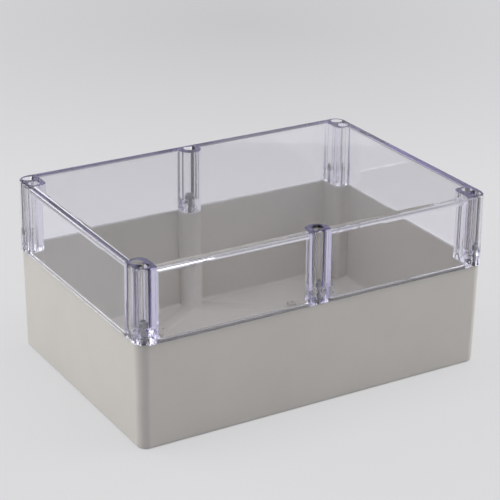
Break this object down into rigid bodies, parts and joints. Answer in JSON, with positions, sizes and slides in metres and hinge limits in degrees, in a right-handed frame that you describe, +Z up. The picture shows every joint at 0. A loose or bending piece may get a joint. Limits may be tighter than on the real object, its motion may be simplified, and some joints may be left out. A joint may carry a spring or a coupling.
{
  "type": "enclosure with clear screw-down lid",
  "caption": "Deep rectangular equipment box: a light-grey moulded tub with a clear lift-off lid held by long screws in full-height columns, with a seal bead between them.",
  "frame": {"origin": "centre of the base's underside", "axes": "+X along the length, +Y across the width, +Z up through the lid"},
  "size_m": [0.2646, 0.1836, 0.125],
  "materials": {
    "base_plastic": "fine satin moulding",
    "clear_plastic": "clear, polished",
    "seal_rubber": "matt, pale",
    "insert_brass": "turned",
    "screw_steel": "plated, bright"
  },
  "bodies": {
    "base_body": {"base": "base_plastic", "insert_1": "insert_brass", "insert_2": "insert_brass", "insert_3": "insert_brass", "insert_4": "insert_brass", "insert_5": "insert_brass", "insert_6": "insert_brass"},
    "lid_body": {"lid": "clear_plastic", "seal": "seal_rubber"},
    "washer_body_1": {"washer_1": "screw_steel"},
    "screw_body_1": {"screw_1": "screw_steel"},
    "washer_body_2": {"washer_2": "screw_steel"},
    "screw_body_2": {"screw_2": "screw_steel"},
    "washer_body_3": {"washer_3": "screw_steel"},
    "screw_body_3": {"screw_3": "screw_steel"},
    "washer_body_4": {"washer_4": "screw_steel"},
    "screw_body_4": {"screw_4": "screw_steel"},
    "washer_body_5": {"washer_5": "screw_steel"},
    "screw_body_5": {"screw_5": "screw_steel"},
    "washer_body_6": {"washer_6": "screw_steel"},
    "screw_body_6": {"screw_6": "screw_steel"}
  },
  "joints": [
    {"name": "lid_lift", "type": "slide", "parent": "base_body", "child": "lid_body", "axis": [0, 0, 1], "range_m": [0, 0.08]},
    {"name": "screw_rise_1", "type": "slide", "parent": "lid_body", "child": "washer_body_1", "axis": [0, 0, 1], "range_m": [0, 0.0112]},
    {"name": "screw_turn_1", "type": "hinge", "parent": "washer_body_1", "child": "screw_body_1", "pos_m": [-0.1252, -0.0852, 0.085], "axis": [0, 0, 1], "range_deg": [0, 5760]},
    {"name": "screw_rise_2", "type": "slide", "parent": "lid_body", "child": "washer_body_2", "axis": [0, 0, 1], "range_m": [0, 0.0112]},
    {"name": "screw_turn_2", "type": "hinge", "parent": "washer_body_2", "child": "screw_body_2", "pos_m": [0, -0.0852, 0.085], "axis": [0, 0, 1], "range_deg": [0, 5760]},
    {"name": "screw_rise_3", "type": "slide", "parent": "lid_body", "child": "washer_body_3", "axis": [0, 0, 1], "range_m": [0, 0.0112]},
    {"name": "screw_turn_3", "type": "hinge", "parent": "washer_body_3", "child": "screw_body_3", "pos_m": [0.1252, -0.0852, 0.085], "axis": [0, 0, 1], "range_deg": [0, 5760]},
    {"name": "screw_rise_4", "type": "slide", "parent": "lid_body", "child": "washer_body_4", "axis": [0, 0, 1], "range_m": [0, 0.0112]},
    {"name": "screw_turn_4", "type": "hinge", "parent": "washer_body_4", "child": "screw_body_4", "pos_m": [0.1252, 0.0852, 0.085], "axis": [0, 0, 1], "range_deg": [0, 5760]},
    {"name": "screw_rise_5", "type": "slide", "parent": "lid_body", "child": "washer_body_5", "axis": [0, 0, 1], "range_m": [0, 0.0112]},
    {"name": "screw_turn_5", "type": "hinge", "parent": "washer_body_5", "child": "screw_body_5", "pos_m": [0, 0.0852, 0.085], "axis": [0, 0, 1], "range_deg": [0, 5760]},
    {"name": "screw_rise_6", "type": "slide", "parent": "lid_body", "child": "washer_body_6", "axis": [0, 0, 1], "range_m": [0, 0.0112]},
    {"name": "screw_turn_6", "type": "hinge", "parent": "washer_body_6", "child": "screw_body_6", "pos_m": [-0.1252, 0.0852, 0.085], "axis": [0, 0, 1], "range_deg": [0, 5760]}
  ],
  "couplings": [
    {"joint": "screw_turn_1", "follows": "screw_rise_1", "rad_per_m": 8976},
    {"joint": "screw_turn_2", "follows": "screw_rise_2", "rad_per_m": 8976},
    {"joint": "screw_turn_3", "follows": "screw_rise_3", "rad_per_m": 8976},
    {"joint": "screw_turn_4", "follows": "screw_rise_4", "rad_per_m": 8976},
    {"joint": "screw_turn_5", "follows": "screw_rise_5", "rad_per_m": 8976},
    {"joint": "screw_turn_6", "follows": "screw_rise_6", "rad_per_m": 8976}
  ]
}
